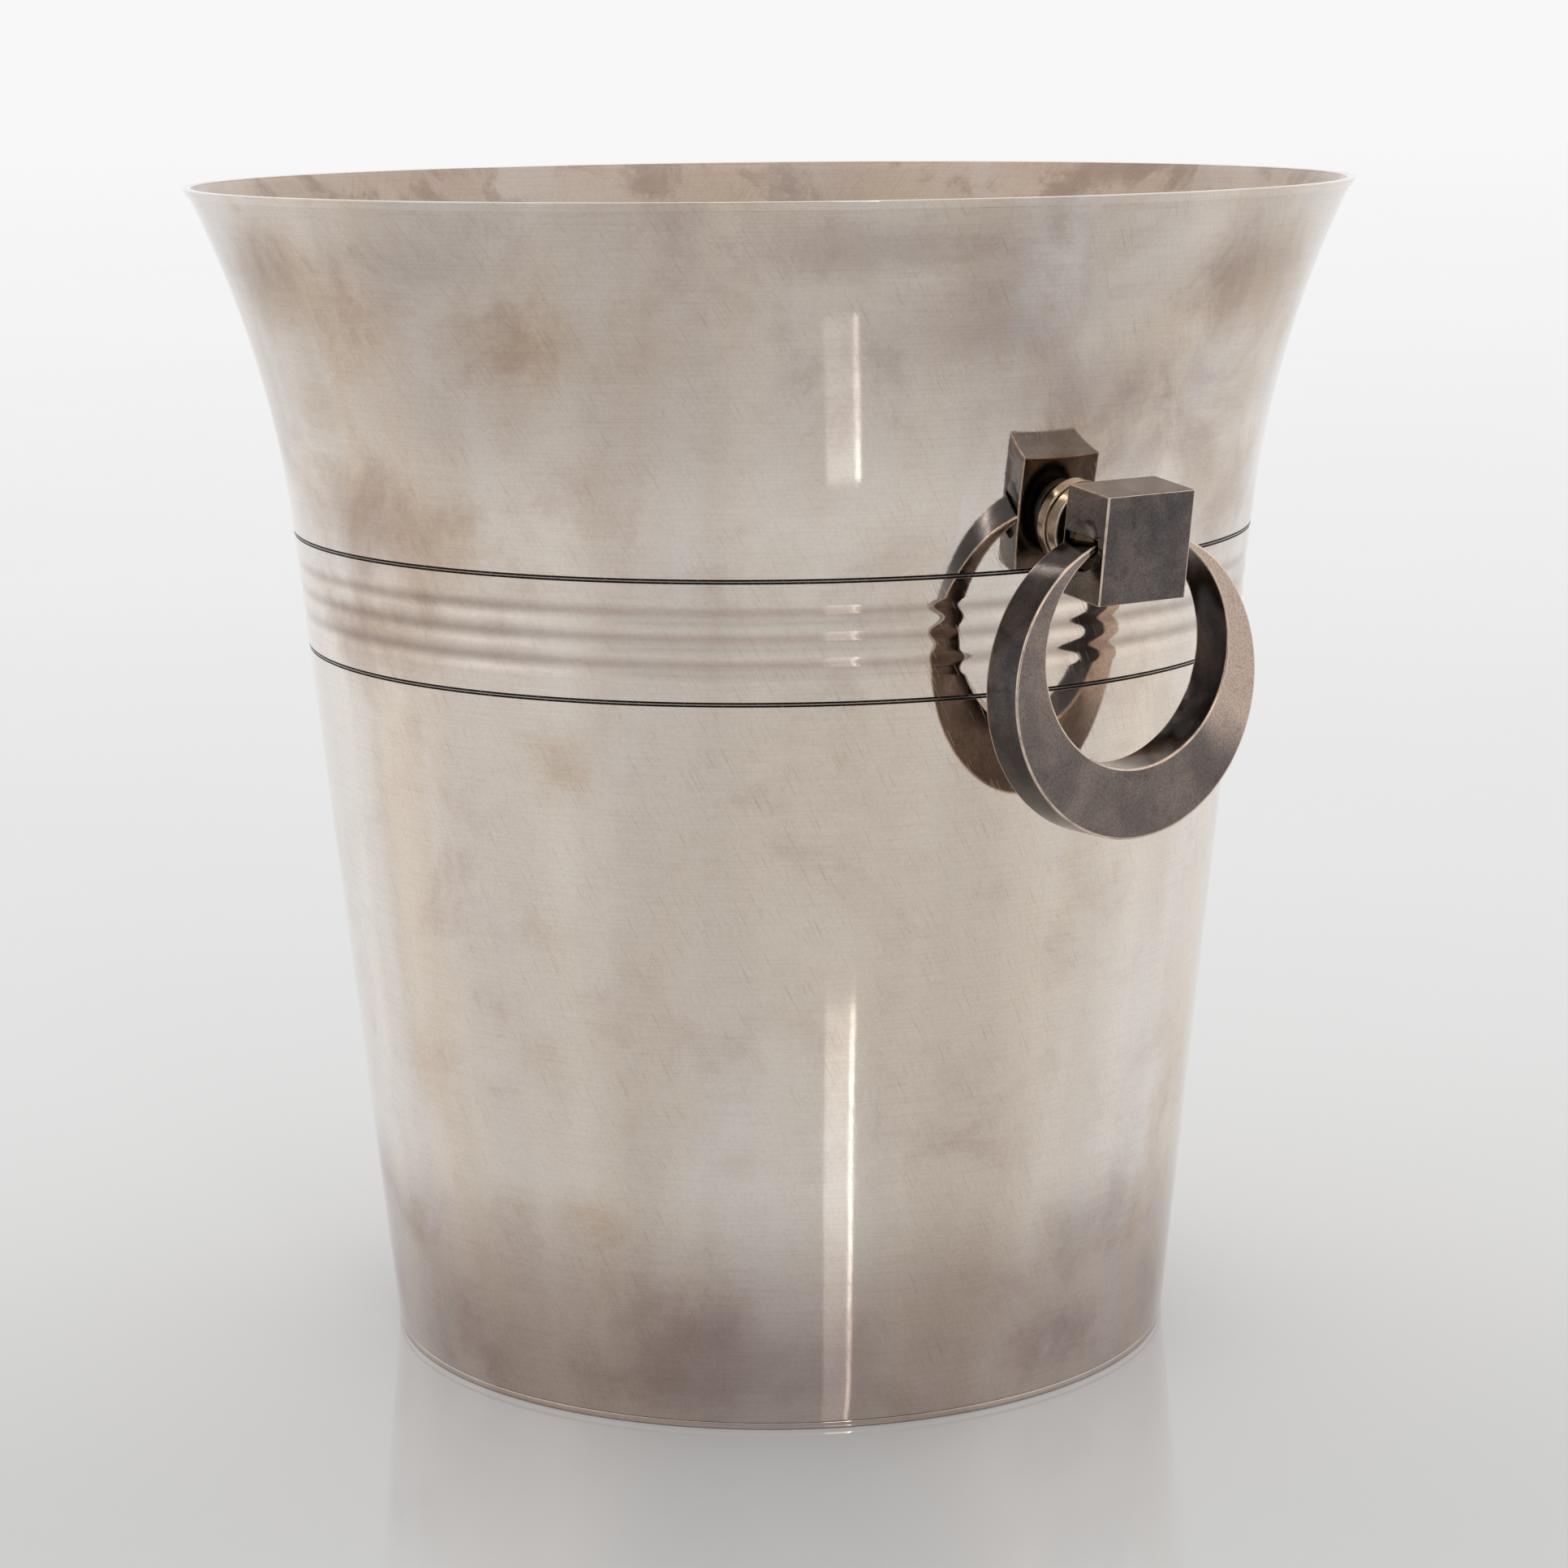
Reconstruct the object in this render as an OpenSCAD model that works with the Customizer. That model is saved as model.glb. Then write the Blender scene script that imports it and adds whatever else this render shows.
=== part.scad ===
// Champagne bucket with two drop-ring handles.
// Frame: origin at the centre of the foot, +Z up, handles on the +X and -X sides. Millimetres.

/* [Bucket] */
// Overall diameter over the rim band
rim_d = 215; // [205:1:260]
// Overall height, foot to lip
height = 216; // [195:1:260]
// Outside diameter at the foot
base_d = 147.5; // [125:0.5:165]
// Outside diameter at the upper engraved line, where the flare starts
band_d = 178.5; // [170:0.5:190]
// Thickness of the sheet metal wall
wall_t = 1.2; // [0.9:0.1:2]

/* [Fluted band] */
// Height of the lower engraved double line
band_low_z = 132; // [115:1:134]
// Height of the upper engraved double line
band_high_z = 153; // [150:1:156]
// Number of flutes between the two double lines
flute_count = 3; // [1:1:4]
// Height of one flute
flute_w = 4.5; // [3:0.1:4.8]
// Depth of one flute
flute_depth = 0.2; // [0.1:0.05:0.6]
// Width of one engraved line
line_w = 0.35; // [0.25:0.05:0.5]
// Land between the two lines of a pair
line_gap = 0.15; // [0.1:0.05:0.8]
// Depth of an engraved line
line_depth = 0.25; // [0.15:0.05:0.4]

/* [Rim and foot] */
// Height of the band round the outside of the lip
rim_band_h = 1.5; // [1.2:0.1:4]
// How far the rim band stands out from the wall
rim_band_t = 0.4; // [0.3:0.05:0.6]
// Height of the foot ring under the wall
foot_h = 1.2; // [1:0.1:2.5]
// Width of the foot ring
foot_w = 3; // [2.5:0.1:5]
// How far the foot ring stands back from the wall's outside
foot_step = 0.15; // [0.05:0.05:0.4]
// Height of the recess under the base plate
base_recess = 4; // [3:0.5:8]

/* [Handle block and collar] */
// Height at which the handle's axis meets the wall
handle_z = 160.3; // [158:0.1:172]
// Diameter of the collar against the wall
collar_d = 14.8; // [12:0.2:18]
// Thickness of the collar
collar_t = 2.8; // [2:0.1:4]
// Diameter of the neck between collar and block
neck_d = 10; // [8:0.2:12]
// Length of the neck
neck_l = 4.3; // [3:0.1:6]
// Width of the block, along the wall
block_w = 18.8; // [15:0.1:24]
// Height of the block
block_h = 18.6; // [15:0.1:24]
// Depth of the block, away from the wall
block_d = 10.6; // [10.2:0.1:14]
// Bevel along the block's edges
block_bevel = 0.25; // [0.1:0.05:0.5]

/* [Ring] */
// Outside diameter of the ring
ring_d = 52.2; // [46:0.2:64]
// Width of the ring at its foot, where it is thickest
ring_foot_w = 12.1; // [8:0.1:15]
// Width that the ring would have at its top, where it is cut away inside the block
ring_top_w = 0.5; // [0.3:0.1:2]
// Depth of the ring, away from the wall
ring_t = 8.2; // [6:0.1:8.6]
// How far the ring's front stands behind the block's front
ring_setback = 2; // [1.6:0.1:2.2]
// Bevel along the ring's edges
ring_bevel = 0.2; // [0.1:0.05:0.3]
// Swing of the ring away from the wall, in degrees
swing_out = 3; // [1:0.5:18]

/* [Hinge and fixings] */
// Diameter of the hinge bar
hinge_d = 5; // [3:0.1:6]
// How far each end of the ring reaches into the block
horn_reach = 0.8; // [0.5:0.1:1.5]
// Diameter of the fixing screw
screw_d = 4; // [3:0.1:5]
// Diameter of the screw's head
screw_head_d = 8; // [7:0.1:10]
// Height of the screw's head
screw_head_t = 2.4; // [1.8:0.1:3.5]
// Metal left between the screw's hole and the hinge bar's bore
screw_web = 0.65; // [0.5:0.05:2]
// Diameter of the saddle washer inside the bucket
washer_d = 12; // [11:0.2:16]
// Thickness of the saddle washer
washer_t = 1.5; // [1:0.1:3]

/* [Hidden] */
$fn = 96;

pin_clear = 0.05;  // radial clearance of a bar or screw in its hole
swing_clear = 0.3; // clearance around the ring's ends as they swing
overshoot = 1;     // how far a cutter passes the face that it cuts
flare_steps = 28;  // straight steps along the flare
saddle_facets = 720; // facets round the bucket where a small piece is fitted to its wall

// The wall's outside is a cone up to band_high_z, then an arc tangent to it that ends at the lip.
cone_angle = atan((band_d - base_d) / 2 / band_high_z);
lip_r = rim_d / 2 - rim_band_t;
flare_r0 = band_d / 2;
flare_dr = lip_r - flare_r0;
flare_dz = height - band_high_z;
flare_along = flare_dr * sin(cone_angle) + flare_dz * cos(cone_angle);
flare_across = flare_dr * cos(cone_angle) - flare_dz * sin(cone_angle);
flare_radius = (pow(flare_along, 2) + pow(flare_across, 2)) / 2 / flare_across;
flare_turn = asin(flare_along / flare_radius);
flare_centre = [flare_r0 + flare_radius * cos(cone_angle), band_high_z - flare_radius * sin(cone_angle)];

// Slope of the wall from the vertical, and its outside radius, at height z.
function wall_tilt(z) = z <= band_high_z ? cone_angle : asin((z - flare_centre[1]) / flare_radius);
function wall_r(z) = z <= band_high_z ? base_d / 2 + z * tan(cone_angle)
    : flare_centre[0] - flare_radius * cos(wall_tilt(z));
// A point of the flare, turned by a from its centre and moved inwards by depth.
function flare_point(a, depth) = flare_centre
    + (flare_radius + depth) * [-cos(cone_angle + a), sin(cone_angle + a)];
// A point of the cone at height z, moved inwards by depth.
function cone_point(z, depth) = [wall_r(z), z] - depth * [cos(cone_angle), -sin(cone_angle)];
// The wall's face from height z up, depth in from the outside, lowest point first.
function face_points(z, depth) = concat([cone_point(z, depth)],
    [for (i = [0:flare_steps]) flare_point(flare_turn * i / flare_steps, depth)]);

base_z = foot_h + base_recess;
foot_out_r = wall_r(foot_h) - foot_step;

// The handle's own frame: x away from the wall along its normal, y along the wall, z up the wall.
handle_tilt = wall_tilt(handle_z);
handle_r = wall_r(handle_z);
block_x = collar_t + neck_l;
hinge_x = block_x + block_d - ring_setback - ring_t / 2;
screw_x0 = -wall_t - washer_t;
screw_end = hinge_x - hinge_d / 2 - pin_clear - screw_web - swing_clear;

// The ring hangs upright from the hinge bar, which joins its two thin ends inside the block.
ring_r = ring_d / 2;
hole_r = (ring_d - ring_foot_w - ring_top_w) / 2;
ring_shift = ring_r - ring_top_w - hole_r;
hinge_half = block_w / 2 - horn_reach;
horn_top = sqrt(pow(ring_r, 2) - pow(hinge_half, 2));
horn_foot = ring_shift + sqrt(pow(hole_r, 2) - pow(hinge_half, 2));
ring_drop = (horn_top + horn_foot) / 2;
horn_inside = ring_shift + sqrt(pow(hole_r, 2) - pow(block_w / 2, 2));
pocket_r = norm([ring_t / 2, ring_drop - horn_inside]) + swing_clear;
roof_angle = swing_out + handle_tilt;
pocket_roof = (horn_top - ring_drop) * cos(roof_angle) + ring_t / 2 * sin(roof_angle) + swing_clear;
hinge_world = [handle_r + hinge_x * cos(handle_tilt), handle_z - hinge_x * sin(handle_tilt)];

// Outline of everything within the wall's face at the given depth, from height z up.
module within_face(z, depth) {
    polygon(concat([[0, height], [0, z]], face_points(z, depth)));
}

// Bevelled rectangle, centred.
module bevelled_rect(w, h, bevel) {
    x = w / 2;
    y = h / 2;
    b = bevel;
    polygon([[b - x, -y], [x - b, -y], [x, b - y], [x, y - b], [x - b, y], [b - x, y], [-x, y - b], [-x, b - y]]);
}

// One engraved line across the wall's outline, its centre shift above height z.
module line_cut(z, shift) {
    translate([wall_r(z), z])
        rotate(-cone_angle)
            translate([-line_depth, shift - line_w / 2])
                square([line_depth + overshoot, line_w]);
}

// The pair of engraved lines centred at height z.
module line_pair(z) {
    pitch = line_w + line_gap;
    line_cut(z, pitch / 2);
    line_cut(z, -pitch / 2);
}

// The flutes as circles that cut the wall's outline, centred in the band.
module flute_cuts() {
    radius = (pow(flute_w / 2, 2) + pow(flute_depth, 2)) / 2 / flute_depth;
    middle_z = (band_low_z + band_high_z) / 2;
    for (i = [0:flute_count - 1]) {
        z = middle_z + (i - (flute_count - 1) / 2) * flute_w;
        translate([wall_r(z) + (radius - flute_depth) * cos(cone_angle),
                z - (radius - flute_depth) * sin(cone_angle)])
            circle(radius);
    }
}

// Places children at the right handle's root on the wall, in the handle's own frame.
module on_wall() {
    translate([handle_r, 0, handle_z])
        rotate([0, handle_tilt, 0])
            children();
}

// Turns the right handle's pieces round to the left side.
module to_left() {
    rotate([0, 0, 180])
        children();
}

// A round bar along x from x0 to x1, in the handle's own frame.
module bar_x(d, x0, x1) {
    translate([x0, 0, 0])
        rotate([0, 90, 0])
            cylinder(d = d, h = x1 - x0);
}

// A round bar along y, of length l, centred at the hinge.
module bar_y(d, l) {
    rotate([90, 0, 0])
        cylinder(d = d, h = l, center = true);
}

// Everything within the wall's face at the given depth, as a solid of revolution.
module solid_within(z, depth) {
    rotate_extrude($fn = saddle_facets)
        within_face(z, depth);
}

module wall() {
    color("silver")
        difference() {
            rotate_extrude()
                difference() {
                    within_face(foot_h, 0);
                    within_face(0, wall_t);
                    line_pair(band_low_z);
                    line_pair(band_high_z);
                    flute_cuts();
                }
            on_wall() screw_hole();
            to_left() on_wall() screw_hole();
        }
}

// The hole for the fixing screw through wall and collar.
module screw_hole() {
    bar_x(screw_d + 2 * pin_clear, -wall_t - overshoot, block_x);
}

// Thin band against the flare, widest at the top.
module rim_band() {
    low_z = height - rim_band_h;
    color("gainsboro")
        rotate_extrude()
            difference() {
                polygon([[wall_r(low_z) - wall_t, low_z], [wall_r(low_z) + rim_band_t, low_z],
                    [rim_d / 2, height], [lip_r - wall_t, height]]);
                within_face(foot_h, 0);
            }
}

module foot_ring() {
    color("darkgray")
        rotate_extrude()
            translate([foot_out_r - foot_w, 0])
                square([foot_w, foot_h]);
}

// Flat plate with a flange turned down along the wall to the foot ring.
module base_plate() {
    color("gray")
        rotate_extrude()
            intersection() {
                difference() {
                    within_face(0, wall_t);
                    intersection() {
                        within_face(0, 2 * wall_t);
                        square([base_d, base_z]);
                    }
                }
                translate([0, foot_h]) square([base_d, base_recess + wall_t]);
            }
}

module collar() {
    color("lightgray")
        difference() {
            on_wall()
                difference() {
                    bar_x(collar_d, -wall_t, collar_t);
                    screw_hole();
                }
            solid_within(foot_h, 0);
        }
}

// Block with a neck behind it, a bore for the hinge bar, and a flat-roofed round pocket in each side.
module block() {
    color("dimgray")
        on_wall()
            difference() {
                union() {
                    block_body();
                    bar_x(neck_d, collar_t, block_x + overshoot);
                }
                bar_x(screw_d + 2 * pin_clear, collar_t - overshoot, screw_end + swing_clear);
                translate([hinge_x, 0, 0]) bar_y(hinge_d + 2 * pin_clear, block_w + 2 * overshoot);
                for (side = [-1, 1]) pocket(side);
            }
}

// The block's body, bevelled along every edge.
module block_body() {
    translate([block_x + block_d / 2, 0, 0])
        intersection() {
            linear_extrude(block_h, center = true) bevelled_rect(block_d, block_w, block_bevel);
            rotate([90, 0, 0]) linear_extrude(block_w, center = true) bevelled_rect(block_d, block_h, block_bevel);
            rotate([0, 90, 0]) linear_extrude(block_d, center = true) bevelled_rect(block_h, block_w, block_bevel);
        }
}

// The pocket in which one end of the ring swings; side is -1 or 1.
module pocket(side) {
    depth = horn_reach + swing_clear;
    intersection() {
        translate([hinge_x, side * (block_w / 2 - depth / 2 + overshoot / 2), 0])
            bar_y(2 * pocket_r, depth + overshoot);
        translate([0, -block_w, pocket_roof - block_h]) cube([2 * (block_x + block_d), 2 * block_w, block_h]);
    }
}

module hinge_bar() {
    color("darkgoldenrod")
        translate([hinge_world[0], 0, hinge_world[1]])
            bar_y(hinge_d, 2 * hinge_half);
}

// A flat disc along x with bevelled edges, centred at height z in the ring's frame.
module disc(r, z, bevel) {
    translate([0, 0, z])
        rotate([0, 90, 0])
            rotate_extrude()
                polygon([[0, -ring_t / 2], [r - bevel, -ring_t / 2], [r, bevel - ring_t / 2],
                    [r, ring_t / 2 - bevel], [r - bevel, ring_t / 2], [0, ring_t / 2]]);
}

// Eccentric ring: thick at the bottom, thin where its two ends enter the block.
module ring() {
    color("slategray")
        translate([hinge_world[0], 0, hinge_world[1] - ring_drop])
            difference() {
                disc(ring_r, 0, ring_bevel);
                translate([-ring_t, 0, ring_shift]) bar_x(2 * hole_r, 0, 2 * ring_t);
                translate([-ring_t, -hinge_half, 0]) cube([2 * ring_t, 2 * hinge_half, ring_d]);
            }
}

module screw() {
    slot_w = screw_head_d / 8;
    head_x = screw_x0 - screw_head_t;
    color("darkkhaki")
        on_wall()
            difference() {
                union() {
                    bar_x(screw_d, screw_x0 - screw_head_t / 2, screw_end);
                    bar_x(screw_head_d, head_x, screw_x0);
                }
                translate([head_x - overshoot, -screw_head_d, -slot_w / 2])
                    cube([overshoot + screw_head_t / 3, 2 * screw_head_d, slot_w]);
            }
}

// Saddle washer: flat under the screw's head, curved against the wall.
module washer() {
    color("tan")
        intersection() {
            on_wall()
                difference() {
                    bar_x(washer_d, screw_x0, 0);
                    bar_x(screw_d + 2 * pin_clear, screw_x0 - overshoot, overshoot);
                }
            solid_within(0, wall_t);
        }
}

wall();
rim_band();
foot_ring();
base_plate();
collar();  // collar_right
block();  // block_right
hinge_bar();  // hinge_bar_right
ring();  // ring_right
screw();  // screw_right
washer();  // washer_right
to_left() collar();  // collar_left
to_left() block();  // block_left
to_left() hinge_bar();  // hinge_bar_left
to_left() ring();  // ring_left
to_left() screw();  // screw_left
to_left() washer();  // washer_left
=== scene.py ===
import math
import bpy
import numpy as np
from mathutils import Matrix, Vector


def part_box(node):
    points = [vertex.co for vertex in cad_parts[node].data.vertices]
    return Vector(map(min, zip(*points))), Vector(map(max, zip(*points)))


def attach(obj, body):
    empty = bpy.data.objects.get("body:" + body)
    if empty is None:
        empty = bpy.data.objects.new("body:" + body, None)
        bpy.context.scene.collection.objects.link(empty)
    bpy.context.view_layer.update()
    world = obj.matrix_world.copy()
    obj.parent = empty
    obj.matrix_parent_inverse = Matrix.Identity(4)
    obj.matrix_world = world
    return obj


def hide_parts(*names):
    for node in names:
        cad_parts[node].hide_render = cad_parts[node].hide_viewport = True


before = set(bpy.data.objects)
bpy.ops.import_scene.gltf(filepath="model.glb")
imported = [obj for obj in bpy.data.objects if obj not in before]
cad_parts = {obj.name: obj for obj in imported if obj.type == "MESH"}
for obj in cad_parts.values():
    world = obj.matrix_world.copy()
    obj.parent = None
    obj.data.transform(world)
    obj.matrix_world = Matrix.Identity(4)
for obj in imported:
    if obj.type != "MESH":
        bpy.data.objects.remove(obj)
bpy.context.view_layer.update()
print("frame loaded:", len(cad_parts), "nodes")

mm = 0.001
fullTurn = 2 * math.pi
viewTurn = -35.2   # azimuth of the viewer, in degrees from the right handle


# Rows of points become quads: row r joins row r + 1, and the last point of a row joins its first.
# The two end rows are left open, fanned to their own mean point, or joined to each other.
def layGrid(rows, ends="fan"):
    rowCount, columnCount = rows.shape[:2]
    points = rows.reshape(-1, 3)
    column = np.arange(columnCount)
    after = (column + 1) % columnCount
    row = np.arange(rowCount if ends == "join" else rowCount - 1)[:, None]
    here, there = row * columnCount, (row + 1) % rowCount * columnCount
    quads = np.stack([here + column, here + after, there + after, there + column], -1).reshape(-1, 4)
    loops, totals = [quads.ravel()], [np.full(len(quads), 4)]
    if ends == "fan":
        last = (rowCount - 1) * columnCount
        points = np.vstack([points, rows[0].mean(0), rows[-1].mean(0)])
        hub = np.full(columnCount, rowCount * columnCount)
        loops.append(np.stack([hub, after, column], -1).ravel())
        loops.append(np.stack([hub + 1, last + column, last + after], -1).ravel())
        totals.append(np.full(2 * columnCount, 3))
    return points, np.concatenate(loops), np.concatenate(totals)


# A laid grid whose first row runs out along a line and back again.
# The way back is welded to the way out, and the two quads this collapses become triangles.
def layFolded(rows):
    columnCount = rows.shape[1]
    points, loops, totals = layGrid(rows)
    quads, lastFan = loops[:4 * (totals == 4).sum()].reshape(-1, 4), loops[-3 * columnCount:]
    welded = np.arange(len(points))
    welded[columnCount // 2:columnCount] = np.arange(columnCount // 2)[::-1]
    quads = welded[quads]
    folded = quads[:, 0] == quads[:, 1]
    loops = np.concatenate([quads[~folded].ravel(), quads[folded][:, [0, 2, 3]].ravel(), lastFan])
    totals = np.concatenate([np.full((~folded).sum(), 4), np.full(folded.sum() + columnCount, 3)])
    used, loops = np.unique(loops, return_inverse=True)
    return points[used], loops.ravel(), totals


# One mesh object from one or more laid grids. Masks are values per point of the first grid, by name.
def makePiece(name, grids, material, masks=None):
    points, loops, totals, offset = [], [], [], 0
    for gridPoints, gridLoops, gridTotals in grids:
        points.append(gridPoints)
        loops.append(gridLoops + offset)
        totals.append(gridTotals)
        offset += len(gridPoints)
    points, loops, totals = np.vstack(points), np.concatenate(loops), np.concatenate(totals)
    mesh = bpy.data.meshes.new(name)
    mesh.vertices.add(len(points))
    mesh.vertices.foreach_set("co", (points * mm).astype(np.float32).ravel())
    mesh.loops.add(len(loops))
    mesh.loops.foreach_set("vertex_index", loops.astype(np.int32))
    mesh.polygons.add(len(totals))
    mesh.polygons.foreach_set("loop_start", (np.cumsum(totals) - totals).astype(np.int32))
    mesh.polygons.foreach_set("loop_total", totals.astype(np.int32))
    mesh.polygons.foreach_set("use_smooth", np.ones(len(totals), bool))
    for maskName, values in (masks or {}).items():
        layer = mesh.attributes.new(maskName, "FLOAT", "POINT")
        full = np.zeros(len(points), np.float32)
        full[:len(values)] = values
        layer.data.foreach_set("value", full)
    mesh.update(calc_edges=True)
    mesh.validate()
    mesh.materials.append(material)
    piece = bpy.data.objects.new(name, mesh)
    bpy.context.scene.collection.objects.link(piece)
    return piece


# Half turn about the upright axis, for the left handle.
def turnedRound(grid):
    points, loops, totals = grid
    return points * np.array([-1, -1, 1]), loops, totals


# Points of a profile (distance from the axis, height) carried once round the upright axis.
def turnProfile(profile, columns):
    angle = np.arange(columns) * fullTurn / columns
    radius, height = profile[:, 0:1], profile[:, 1:2]
    return np.stack([radius * np.cos(angle), radius * np.sin(angle), height + 0 * angle], -1)


# Soft step from 0 at low to 1 at high: 3 t squared less 2 t cubed.
def soft(value, low, high):
    t = np.clip((value - low) / (high - low), 0, 1)
    return t * t * (3 - 2 * t)


# Points of an arc in a profile: centre + radius * (cos, sin) from one angle to another.
def arc(centre, radius, startDeg, endDeg, steps):
    a = np.radians(np.linspace(startDeg, endDeg, steps))
    return np.stack([centre[0] + radius * np.cos(a), centre[1] + radius * np.sin(a)], -1)


bucket = dict(
    baseDiameter=147.5, bandDiameter=178.5, bandHeight=153.0, lowerBandHeight=132.0,
    wallThickness=1.2, rimBandHeight=1.5, rimBandStandOut=0.4, footHeight=1.2, footWidth=3.0,
    footStep=0.15, baseRecess=4.0, lineWidth=0.35, lineLand=0.15, lineDepth=0.25,
    fluteCount=3, fluteWidth=4.5, fluteDepth=0.2, lipRound=0.35, columns=288,
    lineOxide=1.6, landOxide=0.5, paintedFluteShade=0.75, paintedFluteShadeRise=0.7)

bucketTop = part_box("wall")[1].z / mm
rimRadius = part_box("rim_band")[1].y / mm
lipRadius = rimRadius - bucket["rimBandStandOut"]
coneAngle = math.atan((bucket["bandDiameter"] - bucket["baseDiameter"]) / 2 / bucket["bandHeight"])
flareStart = bucket["bandDiameter"] / 2
flareAcross0, flareUp = lipRadius - flareStart, bucketTop - bucket["bandHeight"]
flareAlong = flareAcross0 * math.sin(coneAngle) + flareUp * math.cos(coneAngle)
flareAcross = flareAcross0 * math.cos(coneAngle) - flareUp * math.sin(coneAngle)
flareRadius = (flareAlong ** 2 + flareAcross ** 2) / 2 / flareAcross
flareCentre = (flareStart + flareRadius * math.cos(coneAngle),
               bucket["bandHeight"] - flareRadius * math.sin(coneAngle))


# Slope of the wall from upright at height z: the cone's, then that of an arc tangent to it.
def wallTilt(z):
    inFlare = np.clip((z - flareCentre[1]) / flareRadius, -1, 1)
    return np.where(z <= bucket["bandHeight"], coneAngle, np.arcsin(inFlare))


# Outside radius of the wall at height z.
def wallRadius(z):
    cone = bucket["baseDiameter"] / 2 + z * math.tan(coneAngle)
    flare = flareCentre[0] - flareRadius * np.cos(wallTilt(z))
    return np.where(z <= bucket["bandHeight"], cone, flare)


# The wall's face at heights z, moved inwards along its own normal by depth.
def wallFace(z, depth):
    tilt = wallTilt(z)
    return np.stack([wallRadius(z) - depth * np.cos(tilt), z + depth * np.sin(tilt)], -1)


# Depth of the engraved lines and the flutes at height z.
# A line is a round-bottomed notch. A flute is one wave of a cosine, so the ridges between are worn round.
def carvedDepth(z):
    depth = np.zeros_like(z)
    apart = (bucket["lineWidth"] + bucket["lineLand"]) / 2
    for pair in (bucket["lowerBandHeight"], bucket["bandHeight"]):
        for centre in (pair - apart, pair + apart):
            across = np.clip(np.abs(z - centre) / (bucket["lineWidth"] / 2), 0, 1)
            depth = np.maximum(depth, bucket["lineDepth"] * (1 - across ** 4))
    middle = (bucket["lowerBandHeight"] + bucket["bandHeight"]) / 2
    for i in range(bucket["fluteCount"]):
        centre = middle + (i - (bucket["fluteCount"] - 1) / 2) * bucket["fluteWidth"]
        away = np.clip(np.abs(z - centre) / (bucket["fluteWidth"] / 2), 0, 1)
        depth = np.maximum(depth, bucket["fluteDepth"] * (1 + np.cos(math.pi * away)) / 2)
    return depth


# Heights at which the outside has a row: close together at the lines and the flutes.
def outsideHeights():
    line, land = bucket["lineWidth"], bucket["lineLand"]
    lower, upper = bucket["lowerBandHeight"], bucket["bandHeight"]
    lineRows = np.array([-0.52, -0.5, -0.47, -0.4, -0.25, 0, 0.25, 0.4, 0.47, 0.5, 0.52]) * line
    rows = [np.linspace(bucket["footHeight"] + 0.3, lower - 1.4, 22)]
    for pair in (lower, upper):
        rows += [pair - (line + land) / 2 + lineRows, pair + (line + land) / 2 + lineRows]
    middle = (lower + upper) / 2
    across = np.concatenate([[-0.5, -0.485], np.linspace(-0.45, 0.45, 15), [0.485]])
    for i in range(bucket["fluteCount"]):
        rows.append(middle + (i - (bucket["fluteCount"] - 1) / 2 + across) * bucket["fluteWidth"])
    rows.append([middle + bucket["fluteCount"] / 2 * bucket["fluteWidth"]])
    rows += [lower + np.array([-0.8, 0.8, 2.2]), upper + np.array([-3.2, -1.6, -0.8, 0.8])]
    rows.append(np.linspace(upper + 1.4, bucketTop - 0.6, 60))
    return np.unique(np.concatenate(rows))


# Stains on the wall: (turn from the viewer, height, half width, half height, strength).
# They are repeated a third and two thirds of the way round, so that every side has some.
stains = dict(
    brown=((-58, 200, 24, 11, 1.3), (-50, 190, 16, 9, 0.8), (-57, 180, 14, 11, 0.9),
           (-23, 192, 18, 8, 0.7), (-10, 190, 9, 6, 0.6), (-58, 164, 26, 14, 1.0),
           (-40, 158, 22, 12, 0.9), (-56, 142, 24, 10, 0.8), (5, 169, 5, 12, 0.6),
           (31, 173, 15, 8, 0.7), (-25, 121, 8, 6, 0.8), (-6, 49, 5, 4, 0.8), (-62, 28, 6, 5, 0.8),
           (-26, 38, 11, 5, 0.8), (-36, 38, 6, 4, 0.7), (-50, 114, 7, 10, 0.5), (63, 176, 14, 4, 0.7),
           (-30, 70, 9, 14, 0.35), (-52, 60, 8, 18, 0.45)),
    violet=((-64, 203, 20, 9, 0.9), (-55, 158, 26, 14, 1.0), (-50, 143, 26, 10, 0.9),
            (70, 158, 20, 14, 0.6), (11, 208, 26, 6, 1.0), (20, 195, 30, 11, 0.9),
            (35, 183, 24, 11, 0.9), (42, 170, 14, 8, 0.9), (46, 32, 14, 10, 0.7), (41, 12, 18, 9, 0.7),
            (-10, 11, 20, 11, 1.4), (2, 10, 22, 11, 1.2), (-52, 14, 18, 9, 0.8), (-40, 11, 16, 8, 0.8),
            (-24, 9, 18, 8, 0.9), (66, 9, 16, 9, 0.8), (20, 12, 16, 7, 0.6), (-35, 206, 22, 6, 0.7),
            (52, 203, 24, 8, 0.8)))


# Strength of one kind of stain at points of the wall, from the angle about the axis and the height.
# Each stain falls off as a bell curve over the distance along the face; the strongest counts.
def stained(kind, angle, height):
    strength = np.zeros(np.broadcast(angle, height).shape)
    for third in (0, 120, 240):
        for turnDeg, middle, halfWidth, halfHeight, most in stains[kind]:
            away = angle - math.radians(viewTurn + turnDeg + third)
            away = (away + math.pi) % fullTurn - math.pi
            along = away * wallRadius(middle) / halfWidth
            up = (height - middle) / halfHeight
            strength = np.maximum(strength, most * np.exp(-along ** 2 - up ** 2))
    return strength


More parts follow.
